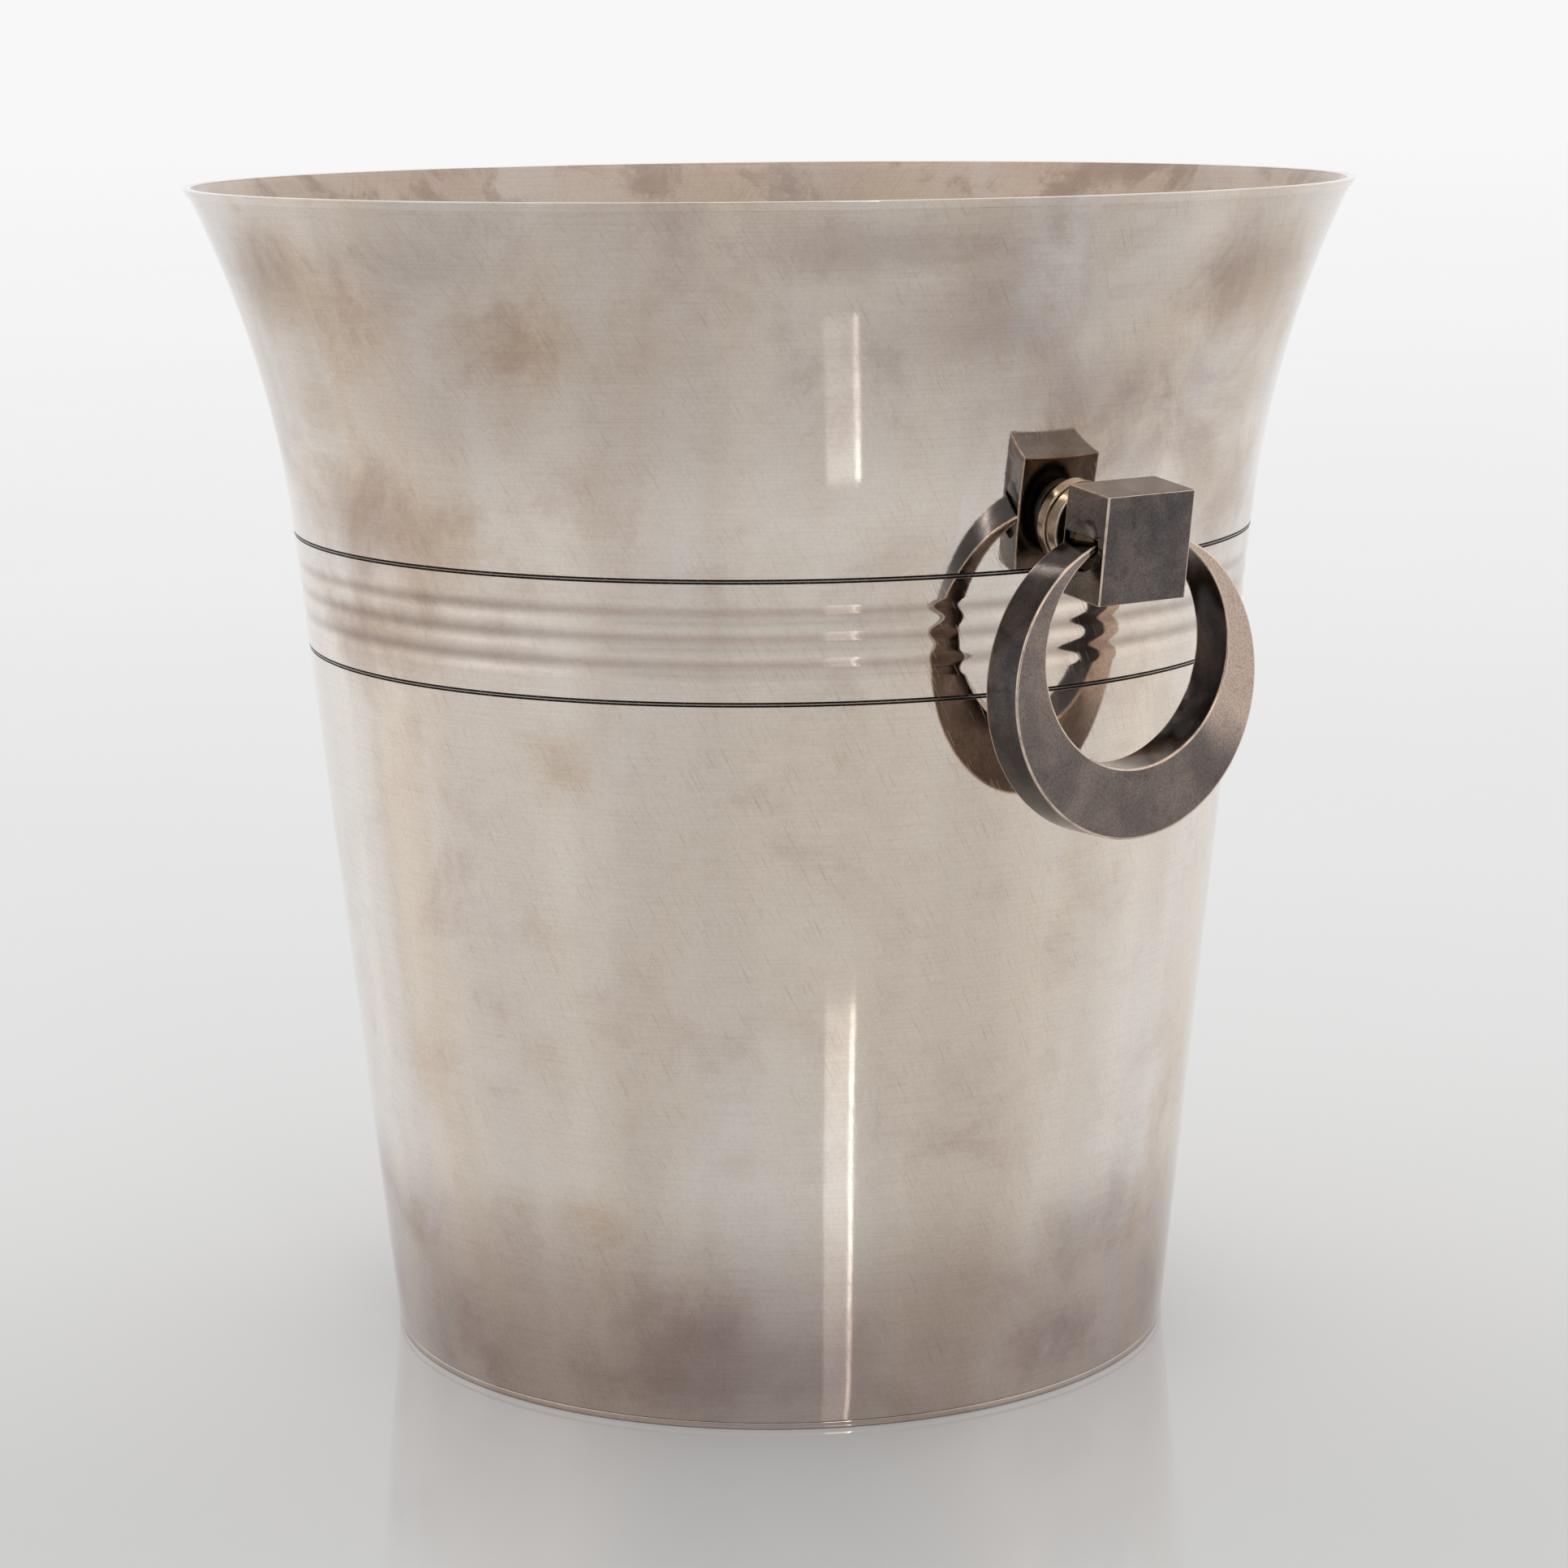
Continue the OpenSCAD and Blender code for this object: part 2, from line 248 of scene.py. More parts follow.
# Wall: one closed profile, from the foot up the outside, over the lip and down the inside, turned once round.
def bucketWall(material):
    z = outsideHeights()
    outside = wallFace(z, carvedDepth(z))
    band = bucket["bandHeight"]
    insideHeights = np.concatenate([np.linspace(bucketTop - 0.9, band + 1, 44), np.linspace(band - 3, 3, 18)])
    inside = wallFace(insideHeights, bucket["wallThickness"])
    lip = bucket["lipRound"]
    outerLip = arc((lipRadius - lip, bucketTop - lip), lip, 0, 90, 6)
    innerEdge = wallFace(np.array([bucketTop - 0.5]), bucket["wallThickness"])[0, 0]
    innerLip = arc((innerEdge + lip, bucketTop - lip), lip, 90, 180, 6)
    foot = wallFace(np.array([bucket["footHeight"]]), 0)[0]
    footIn = np.array([inside[-1, 0], bucket["footHeight"]])
    footEdge = [foot - [0.25, 0], foot + [0, 0.15]]
    profile = np.vstack([footEdge, outside, outerLip, innerLip, inside, [footIn]])
    onOutside = slice(len(footEdge), len(footEdge) + len(z))
    columns, firstInside = bucket["columns"], onOutside.stop + len(outerLip) + len(innerLip) // 2
    oxide, within = np.zeros(len(profile)), np.zeros(len(profile))
    bandMiddle = (bucket["lowerBandHeight"] + band) / 2
    fluted = np.abs(z - bandMiddle) < bucket["fluteWidth"] * bucket["fluteCount"] / 2 + 0.5
    betweenLines = np.minimum(np.abs(z - band), np.abs(z - bucket["lowerBandHeight"])) < 0.1
    inLines = np.clip(carvedDepth(z) / bucket["lineDepth"] * bucket["lineOxide"], 0, 1) * ~fluted
    oxide[onOutside] = inLines + bucket["landOxide"] * betweenLines
    fluteShade = np.zeros(len(profile))   # painted shade in the upper half of each flute
    inFlutes = carvedDepth(z - bucket["paintedFluteShadeRise"]) / bucket["fluteDepth"]
    fluteShade[onOutside] = bucket["paintedFluteShade"] * inFlutes ** 2 * fluted
    within[firstInside:] = 1
    height, angle = profile[:, 1:2], np.arange(columns)[None, :] * fullTurn / columns
    outer = 1 - within[:, None]
    # The low mask darkens the wall towards the bottom and adds the painted shade in the flutes; the flare
    # mask darkens it towards the lip.
    masks = {"oxide": np.repeat(oxide, columns), "inside": np.repeat(within, columns),
             "brown": (stained("brown", angle, height) * outer).ravel(),
             "violet": (stained("violet", angle, height) * outer).ravel(),
             "low": np.repeat((soft(-height, -46, -20) * outer)[:, 0] + fluteShade, columns),
             "flare": np.repeat((soft(height, 160, 182) * outer)[:, 0], columns)}
    return makePiece("bucket_wall", [layGrid(turnProfile(profile, columns), "join")], material, masks)


# Rim band: a thin strip round the flare, rounded at its lower edge and widest at the very top.
def rimBand(material):
    low, out, edge = bucketTop - bucket["rimBandHeight"], bucket["rimBandStandOut"], 0.14
    lowRadius = float(wallRadius(low))
    slope = math.degrees(math.atan2(bucket["rimBandHeight"], rimRadius - lowRadius - out))
    lower = arc((lowRadius + out - edge * 1.1, low + edge), edge, 270, 270 + slope, 6)
    upper = arc((rimRadius - edge, bucketTop - edge), edge, slope - 90, 90, 7)
    profile = np.vstack([[[lowRadius - 0.05, low]], [[lowRadius + 0.1, low]], lower, lower[-1:] + [0.05, 0.1],
                         upper[:1] - [0.05, 0.1], upper, [[lipRadius - 0.25, bucketTop]],
                         [[lipRadius - 0.3, bucketTop - 0.2]], [[lowRadius - 0.1, low + 0.1]]])
    return makePiece("rim_band_rounded", [layGrid(turnProfile(profile, bucket["columns"]), "join")], material,
                     {"flare": np.full(len(profile) * bucket["columns"], 0.6)})


# Foot ring: a flat strip with rounded edges, turned once round.
def footRing(material):
    outer = float(wallRadius(bucket["footHeight"])) - bucket["footStep"]
    inner, height, edge = outer - bucket["footWidth"], bucket["footHeight"], 0.25
    profile = np.vstack([arc((inner + edge, edge), edge, 180, 270, 5),
                         arc((outer - edge, edge), edge, 270, 360, 5),
                         arc((outer - edge, height - edge), edge, 0, 90, 5),
                         arc((inner + edge, height - edge), edge, 90, 180, 5)])
    return makePiece("foot_ring_turned", [layGrid(turnProfile(profile, bucket["columns"]), "join")], material,
                     {"low": np.ones(len(profile) * bucket["columns"])})


# Base: a plate with a flange turned down to the foot ring and a soft bend between them.
def baseDish(material):
    thick, low = bucket["wallThickness"], bucket["footHeight"]
    top = low + bucket["baseRecess"] + thick
    outerTop = wallFace(np.array([top]), thick)[0, 0]
    outerLow = wallFace(np.array([low]), thick)[0, 0]
    bend = 0.8
    profile = np.vstack([[[2.0, top]], [[30.0, top]], [[outerTop - 1.6, top]],
                         arc((outerTop - bend, top - bend), bend, 90, 6, 6),
                         [[outerLow, low + 0.2]], [[outerLow - 0.2, low]],
                         [[outerLow - thick + 0.2, low]], [[outerLow - thick, low + 0.2]],
                         arc((outerTop - thick - 1.2, top - thick - 1.2), 1.2, 0, 90, 6),
                         [[outerTop - 5, top - thick]], [[30.0, top - thick]], [[2.0, top - thick]]])
    rows = turnProfile(profile[::-1], 192)
    dish = layGrid(rows)
    return makePiece("base_dish", [dish], material, {"inside": np.ones(len(dish[0]))})


handle = dict(
    rootHeight=160.3, collarDiameter=14.8, collarThickness=2.8, neckDiameter=10.0, neckLength=4.3,
    blockWidth=18.8, blockHeight=18.6, blockDepth=10.6, blockEdge=0.28, ringDiameter=52.2, ringFoot=12.1,
    ringTop=0.5, ringDepth=8.2, ringSetBack=2.0, ringEdge=0.28, hornReach=0.8,
    swingClearance=0.3, pocketReach=4.5, pocketRoof=1.57, plugRadius=3.9, plugSeam=0.12,
    washerDiameter=12.0, washerThickness=1.5,
    screwDiameter=4.0, screwHead=8.0, screwHeadHeight=2.4, screwSlot=1.0, screwDome=0.5, slotShare=0.42,
    blockRub=0.17, blockRubFront=0.125,
    ringRub=0.235, ringLightRight=0.8, ringLightLeft=0.09, ringRubSides=0.05)

rootTilt = float(wallTilt(handle["rootHeight"]))
rootRadius = float(wallRadius(handle["rootHeight"]))
blockBack = handle["collarThickness"] + handle["neckLength"]
blockFront = blockBack + handle["blockDepth"]
hingeOut = blockFront - handle["ringSetBack"] - handle["ringDepth"] / 2
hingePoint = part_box("hinge_bar_right")
hingeX, hingeZ = ((hingePoint[0][i] + hingePoint[1][i]) / 2 / mm for i in (0, 2))


# From the handle's own frame (out from the wall, along it, up it) to the bucket's.
def onWall(points):
    out, along, up = points[..., 0], points[..., 1], points[..., 2]
    x = rootRadius + out * math.cos(rootTilt) + up * math.sin(rootTilt)
    z = handle["rootHeight"] - out * math.sin(rootTilt) + up * math.cos(rootTilt)
    return np.stack([x, along, z], -1)


# How far out the wall's face lies at (along, up) in the handle's frame, inset by depth.
# Found by stepping towards the wall: each step moves by the gap that is left.
def wallOut(along, up, depth):
    out = np.zeros_like(along) - depth
    for _ in range(12):
        p = onWall(np.stack([out, along, up], -1))
        faceRadius = wallRadius(p[..., 2]) - depth / np.cos(wallTilt(p[..., 2]))
        out = out - (np.hypot(p[..., 0], p[..., 1]) - faceRadius)
    return out


# A lathe shape about the handle's axis from rows of (out, radius); the handle's frame.
def turnedOut(profile, columns):
    angle = np.arange(columns) * fullTurn / columns
    out, radius = profile[:, 0:1], profile[:, 1:2]
    return np.stack([out + 0 * angle, radius * np.cos(angle), radius * np.sin(angle)], -1)


# Collar: flat face, rounded edge, and a back that follows the wall.
def collarGrid():
    radius, front, edge = handle["collarDiameter"] / 2, handle["collarThickness"], 0.45
    face = np.array([[front, 1.0], [front, radius - edge - 0.4], [front, radius - edge - 0.1]])
    turn = arc((front - edge, radius - edge), edge, 0, 90, 7)
    side = np.array([[front - edge - 0.15, radius], [0.6, radius]])
    rows = turnedOut(np.vstack([face, turn, side]), 128)
    angle = np.arange(128) * fullTurn / 128
    backs = []
    for r in (radius, radius * 0.97, radius * 0.6, 1.0):
        along, up = r * np.cos(angle), r * np.sin(angle)
        backs.append(np.stack([wallOut(along, up, 0.0), along, up], -1))
    return layGrid(onWall(np.concatenate([rows, np.array(backs)])[::-1]))


# Washer: flat towards the screw head, and curved to the wall's inside.
def washerGrid():
    radius, edge = handle["washerDiameter"] / 2, 0.3
    front = -bucket["wallThickness"] - handle["washerThickness"]
    face = np.array([[front, 1.0], [front, radius - edge - 0.3], [front, radius - edge - 0.05]])
    turn = arc((front + edge, radius - edge), edge, 180, 90, 5)
    rows = turnedOut(np.vstack([face, turn]), 96)
    angle = np.arange(96) * fullTurn / 96
    backs = []
    for r in (radius, radius * 0.7, 1.0):
        along, up = r * np.cos(angle), r * np.sin(angle)
        backs.append(np.stack([wallOut(along, up, bucket["wallThickness"]), along, up], -1))
    return layGrid(onWall(np.concatenate([rows, np.array(backs)])))


# Screw: a low domed head cut by a straight slot, then the shank.
# The head is swept in straight chords across the slot, so that the slot's walls are straight.
# Its dome falls by the 2.6th power of the distance from the middle.
def screwGrid():
    radius, head = handle["screwHead"] / 2, handle["screwHeadHeight"]
    start = -bucket["wallThickness"] - handle["washerThickness"]
    slot = handle["screwSlot"] / 2
    steps = np.concatenate([np.linspace(-0.995, -0.2, 14), [-0.14, -slot / radius - 0.012],
                            [-slot / radius + 0.012, 0, slot / radius - 0.012], [slot / radius + 0.012, 0.14],
                            np.linspace(0.2, 0.995, 14)])
    ring = np.concatenate([np.stack([steps, np.sqrt(1 - steps ** 2)], -1),
                           np.stack([steps, -np.sqrt(1 - steps ** 2)], -1)[::-1]])
    inward = np.array([0.0, 0.25, 0.5, 0.75, 0.9, 1.0])

    def headTop(along, up):
        dome = head - handle["screwDome"] * ((along ** 2 + up ** 2) / radius ** 2) ** 1.3
        return dome - np.where(np.abs(up) < slot, head * handle["slotShare"], 0)
    rows = []
    for share in inward:
        up, along = ring[:, 0] * radius * 0.97, ring[:, 1] * radius * 0.97 * share
        rows.append(np.stack([start - headTop(along, up), along, up], -1))
    along, up = ring[:, 1] * radius, ring[:, 0] * radius
    rows.append(np.stack([start - headTop(along, up) + 0.25, along, up], -1))
    for out, share in ((start, 1.0), (start, handle["screwDiameter"] / handle["screwHead"]),
                       (blockBack - 0.5, handle["screwDiameter"] / handle["screwHead"])):
        rows.append(np.stack([out + 0 * along, along * share, up * share], -1))
    return layFolded(onWall(np.array(rows)))


# Signed distance to a rectangle with rounded corners, centred at (x, z).
def roundedBox(x, z, halfX, halfZ, corner):
    qx, qz = np.abs(x) - halfX + corner, np.abs(z) - halfZ + corner
    return np.hypot(np.maximum(qx, 0), np.maximum(qz, 0)) + np.minimum(np.maximum(qx, qz), 0) - corner


# Distance from the hinge to an outline along each direction, by halving the interval.
def reach(direction, distanceTo):
    low, high = np.zeros(len(direction)), np.full(len(direction), 30.0)
    for _ in range(40):
        middle = (low + high) / 2
        outside = distanceTo(direction[:, 0] * middle, direction[:, 1] * middle) > 0
        low, high = np.where(outside, low, middle), np.where(outside, middle, high)
    return (low + high) / 2


# Block: outlines round the hinge axis, carried from one side's pocket to the other's.
# Each row is one outline at one place along the hinge.
# The rows go over the pocket's floor and edge, the side face with its seam, the rounded edge and the body.
def blockRows():
    centreX = blockBack + handle["blockDepth"] / 2 - hingeOut
    halfX, halfZ, edge = handle["blockDepth"] / 2, handle["blockHeight"] / 2, handle["blockEdge"]
    corners = []
    for sx in (-1, 1):
        for sz in (-1, 1):
            for ex, ez in ((1.6, 0), (1.15, 0), (1.0, 0), (0.62, 0.08), (0.29, 0.29),
                           (0.08, 0.62), (0, 1.0), (0, 1.15), (0, 1.6)):
                corners.append((centreX + sx * (halfX - ex * edge), sz * (halfZ - ez * edge)))
    corners = np.array(corners)
    pocket, roof = handle["pocketReach"], handle["pocketRoof"]
    roofHalf = math.sqrt(pocket ** 2 - roof ** 2)
    pocketTurn = math.atan2(roof, roofHalf)
    turns = np.concatenate([np.arctan2(corners[:, 1], corners[:, 0]),
                            np.linspace(-math.pi, math.pi, 120, False),
                            [pocketTurn - 0.01, pocketTurn, pocketTurn + 0.01],
                            [math.pi - pocketTurn - 0.01, math.pi - pocketTurn, math.pi - pocketTurn + 0.01]])
    turns = np.unique(np.round(turns, 3))
    direction = np.stack([np.cos(turns), np.sin(turns)], -1)

    def bodyOutline(inset):
        corner = max(edge - inset, 0.02)
        return reach(direction, lambda x, z: roundedBox(x - centreX, z, halfX - inset, halfZ - inset, corner))

    def pocketOutline(grow):
        return reach(direction, lambda x, z: np.maximum(np.hypot(x, z) - pocket - grow, z - roof - grow))
    halfWidth = handle["blockWidth"] / 2
    floor = halfWidth - handle["hornReach"] - handle["swingClearance"]
    outerPocket = pocketOutline(0)

    # An outline kept inside the body's edge, each next row a little closer to it than the row before.
    def inBody(outline, number):
        return np.minimum(outline, bodyOutline(0.35 - 0.005 * number))
    half = [(0.15 * outerPocket, floor), (inBody(pocketOutline(-0.1), 0), floor),
            (inBody(outerPocket, 1), floor + 0.06), (inBody(outerPocket, 1), halfWidth - 0.12),
            (inBody(pocketOutline(0.04), 2), halfWidth - 0.03), (inBody(pocketOutline(0.12), 3), halfWidth),
            (inBody(pocketOutline(0.2), 4), halfWidth)]
    seam = handle["plugSeam"]
    for away, sunk in ((-seam, 0), (-seam / 2, 0.05), (0, 0.07), (seam / 2, 0.05), (seam, 0)):
        beyond = handle["plugRadius"] + away > outerPocket + 0.3
        distance = np.where(beyond, handle["plugRadius"] + away, pocketOutline(0.22 + 0.01 * len(half)))
        half.append((inBody(distance, len(half)), halfWidth - np.where(beyond, sunk, 0)))
    half.append((bodyOutline(edge + 0.01), halfWidth))
    firstEdge = len(half)
    for a in np.radians(np.linspace(0, 90, 7)):
        half.append((bodyOutline(edge * (1 - math.sin(a))), halfWidth - edge * (1 - math.cos(a))))
    lastEdge = len(half)
    half.append((bodyOutline(0), halfWidth - edge - 0.12))
    # Painted shade: the first rows, the pocket's floor and walls, are coloured nearly black.
    pocketRows = 4
    rows, wear, brass = [], [], []
    for side, part in ((1, half), (-1, half[::-1])):
        for i, (distance, at) in enumerate(part):
            k = i if side > 0 else len(half) - 1 - i
            rows.append(np.stack([hingeOut + direction[:, 0] * distance, side * at + np.zeros(len(turns)),
                                  direction[:, 1] * distance], -1))
            brass.append(np.full(len(turns), 1.0 if k < pocketRows else 0.0))
            wear.append(np.full(len(turns), 1.0 if firstEdge < k < lastEdge else 0.0))
    rows, wear, brass = np.array(rows), np.array(wear), np.array(brass)
    cornerX = np.abs(np.abs(rows[..., 0] - blockBack - halfX) - halfX) < 0.6 * edge
    cornerZ = np.abs(np.abs(rows[..., 2]) - halfZ) < 0.6 * edge
    nearFront = np.abs(rows[..., 0] - blockFront) < 1
    return rows, {"wear": np.maximum(wear, cornerX & cornerZ).ravel(), "brass": brass.ravel(),
                  "rubAndLight": np.where(nearFront, handle["blockRubFront"], handle["blockRub"]).ravel()}


# Neck: a waisted spindle between collar and block.
def neckGrid():
    radius, cove = handle["neckDiameter"] / 2, 0.7
    low, high = handle["collarThickness"], blockBack
    profile = np.vstack([[[low, 1.0]], arc((low + cove, radius + cove), cove, 180, 270, 6),
                         arc((high - cove, radius + cove), cove, 270, 360, 6), [[high, 1.0]]])
    return layGrid(onWall(turnedOut(profile, 96)))


# Ring: a section between two circles that don't share a centre, carried from one horn round to the other.
# At share t, the outer point is at angle a(t) on the outer circle and the inner one at b(t) on the hole.
# The section's corners are quarter rounds, with one more point just before and just past each round.
def ringRows():
    outer = handle["ringDiameter"] / 2
    hole = (handle["ringDiameter"] - handle["ringFoot"] - handle["ringTop"]) / 2
    shift = outer - handle["ringTop"] - hole
    halfGap = handle["blockWidth"] / 2 - handle["hornReach"]
    hornTop = math.sqrt(outer ** 2 - halfGap ** 2)
    hornFoot = shift + math.sqrt(hole ** 2 - halfGap ** 2)
    centreZ = hingeZ - (hornTop + hornFoot) / 2
    t = np.concatenate([[0, 0.0015], np.linspace(0.004, 0.996, 220), [0.9985, 1]])
    a0, b0 = math.asin(halfGap / outer), math.asin(halfGap / hole)
    a, b = a0 + t * (fullTurn - 2 * a0), b0 + t * (fullTurn - 2 * b0)
    outerPoint = np.stack([outer * np.sin(a), outer * np.cos(a)], -1)
    innerPoint = np.stack([hole * np.sin(b), shift + hole * np.cos(b)], -1)
    width = np.linalg.norm(outerPoint - innerPoint, axis=1)
    edge = np.minimum(handle["ringEdge"], 0.28 * width)
    halfDepth = handle["ringDepth"] / 2
    share, place, wear, face = [], [], [], []
    for acrossEnd, depthEnd, startDeg in ((1, 1, 0), (0, 1, 90), (0, -1, 180), (1, -1, 270)):
        steps = [(turned, 0.0) for turned in np.linspace(0, 90, 7)]
        for turned, beyond in [(0, -0.6)] + steps + [(90, 0.6)]:
            angle = math.radians(startDeg + turned)
            sine, cosine = math.sin(angle), math.cos(angle)
            share.append((acrossEnd, cosine - beyond * sine))
            place.append((depthEnd, sine + beyond * cosine))
            wear.append(0.0 if beyond else 1.0)
            face.append(abs(sine))
    share, place = np.array(share), np.array(place)
    along = share[:, 0] * (width - 2 * edge)[:, None] + edge[:, None] * (1 + share[:, 1])
    depth = place[:, 0] * (halfDepth - edge)[:, None] + edge[:, None] * place[:, 1]
    unit = (outerPoint - innerPoint) / width[:, None]
    y = innerPoint[:, 0:1] + unit[:, 0:1] * along
    z = innerPoint[:, 1:2] + unit[:, 1:2] * along
    rows = np.stack([hingeX + depth, y, centreZ + z], -1)
    rise = z / np.hypot(y, z)
    # Painted light: the faces are lighter in a band low on the right and, a little, on the left, over their
    # rubbing.
    rightSide, leftSide = soft(y, 1, 15) * soft(rise, -0.62, -0.3), soft(-y, 1, 15) * soft(rise, -0.5, 0.4)
    onSides = np.where(share[:, 0] + share[:, 1] > 0.5, handle["ringRubSides"], 0.0)
    onFaces = handle["ringRub"] + handle["ringLightRight"] * rightSide + handle["ringLightLeft"] * leftSide
    rubAndLight = np.array(face) * onFaces + (1 - np.array(face)) * onSides
    wornEdge = np.broadcast_to(np.array(wear), rows.shape[:2])
    return rows, {"wear": wornEdge.ravel(), "rubAndLight": rubAndLight.ravel()}


# Small helpers that make shader nodes and link them.
class Finish:
    def __init__(self, name):
        self.material = bpy.data.materials.new(name)
        self.material.use_nodes = True
        self.tree = self.material.node_tree
        self.shader = self.tree.nodes["Principled BSDF"]
        self.place = self.node("ShaderNodeTexCoord").outputs["Object"]

    def node(self, kind, **settings):
        made = self.tree.nodes.new(kind)
        for key, value in settings.items():
            setattr(made, key, value)
        made.location = (-220 * (len(self.tree.nodes) % 8), -160 * (len(self.tree.nodes) // 8))
        return made

    def wire(self, source, target):
        self.tree.links.new(source, target)

    def feed(self, socket, value):
        if isinstance(value, bpy.types.NodeSocket):
            self.tree.links.new(value, socket)
        else:
            socket.default_value = value

    def mapped(self, scale=(1, 1, 1), move=(0, 0, 0), turn=(0, 0, 0), source=None):
        mapping = self.node("ShaderNodeMapping")
        self.wire(source or self.place, mapping.inputs["Vector"])
        mapping.inputs["Scale"].default_value = scale
        mapping.inputs["Location"].default_value = move
        mapping.inputs["Rotation"].default_value = turn
        return mapping.outputs["Vector"]

    # The wall laid out flat: (angle about the axis * a mean radius, height). Its join is opposite the viewer.
    def laidFlat(self):
        turned = self.node("ShaderNodeSeparateXYZ")
        self.wire(self.mapped(turn=(0, 0, -math.radians(viewTurn))), turned.inputs[0])
        angle = self.maths("ARCTAN2", turned.outputs["Y"], turned.outputs["X"])
        flat = self.node("ShaderNodeCombineXYZ")
        self.wire(self.maths("MULTIPLY", angle, 0.09), flat.inputs["X"])
        self.wire(turned.outputs["Z"], flat.inputs["Y"])
        return flat.outputs[0]

    def noise(self, vector, scale, detail=3, roughness=0.55, distortion=0.0):
        noise = self.node("ShaderNodeTexNoise")
        self.wire(vector, noise.inputs["Vector"])
        for key, value in (("Scale", scale), ("Detail", detail),
                           ("Roughness", roughness), ("Distortion", distortion)):
            noise.inputs[key].default_value = value
        return noise.outputs["Fac"]

    def ramp(self, value, low, high, outLow=0.0, outHigh=1.0):
        ranged = self.node("ShaderNodeMapRange", interpolation_type="SMOOTHSTEP")
        self.feed(ranged.inputs["Value"], value)
        for key, number in (("From Min", low), ("From Max", high), ("To Min", outLow), ("To Max", outHigh)):
            ranged.inputs[key].default_value = number
        return ranged.outputs["Result"]

    def maths(self, operation, a, b=0.0):
        step = self.node("ShaderNodeMath", operation=operation)
        self.feed(step.inputs[0], a)
        self.feed(step.inputs[1], b)
        return step.outputs[0]

    def mix(self, factor, a, b, blend="MIX"):
        mixed = self.node("ShaderNodeMix", data_type="RGBA", blend_type=blend)
        self.feed(mixed.inputs[0], factor)
        for socket, value in ((mixed.inputs[6], a), (mixed.inputs[7], b)):
            if isinstance(value, bpy.types.NodeSocket):
                self.wire(value, socket)
            else:
                socket.default_value = (*value, 1)
        return mixed.outputs[2]

    def tint(self, factor, colour, filtered):
        return self.mix(factor, colour, filtered, "MULTIPLY")

    def mask(self, name):
        return self.node("ShaderNodeAttribute", attribute_name=name).outputs["Fac"]

    # A mask eaten into by noise, so that its edge is ragged.
    def ragged(self, name, breakUp, amount):
        shifted = self.maths("MULTIPLY", self.maths("SUBTRACT", breakUp, 0.5), amount)
        return self.ramp(self.maths("ADD", self.mask(name), shifted), 0.0, 1.3)

    # Straight fine scratches: a noise stretched along one direction, where it is high.
    def scratches(self, flat, turnDeg, along, across, keep):
        turned = self.mapped(turn=(0, 0, math.radians(turnDeg)), source=flat)
        streak = self.noise(self.mapped(scale=(along, across, 1), source=turned), 1.0, 1, 0.4)
        return self.ramp(streak, keep, keep + 0.06)

    def bump(self, height, distance, under=None):
        bump = self.node("ShaderNodeBump")
        self.wire(height, bump.inputs["Height"])
        bump.inputs["Distance"].default_value = distance
        if under is not None:
            self.wire(under, bump.inputs["Normal"])
        return bump.outputs["Normal"]


# The silver's colour and its tints: tarnish, stains, specks, scratches, darker low down, on the flare and
# inside, and painted reflection in bands.
polish = dict(
    silver=(0.985, 0.935, 0.88), warm=(0.92, 0.855, 0.785), mottle=(0.93, 0.905, 0.91),
    brown=(0.83, 0.745, 0.65), violet=(0.71, 0.675, 0.69), low=(0.66, 0.61, 0.60), flare=(0.83, 0.81, 0.80),
    speck=(0.93, 0.915, 0.895), grain=(0.95, 0.935, 0.92), paintedReflectionBands=(0.92, 0.915, 0.925),
    scratch=(0.88, 0.85, 0.82), inside=(0.58, 0.52, 0.48), insideCloud=(0.80, 0.77, 0.76),
    oxide=(0.022, 0.015, 0.011), stainBreak=1.7, oxideRoughness=0.4,
    roughness=0.035, tarnishRoughness=0.05, insideRoughness=0.14, wave=0.00013, fineBump=0.0000022)


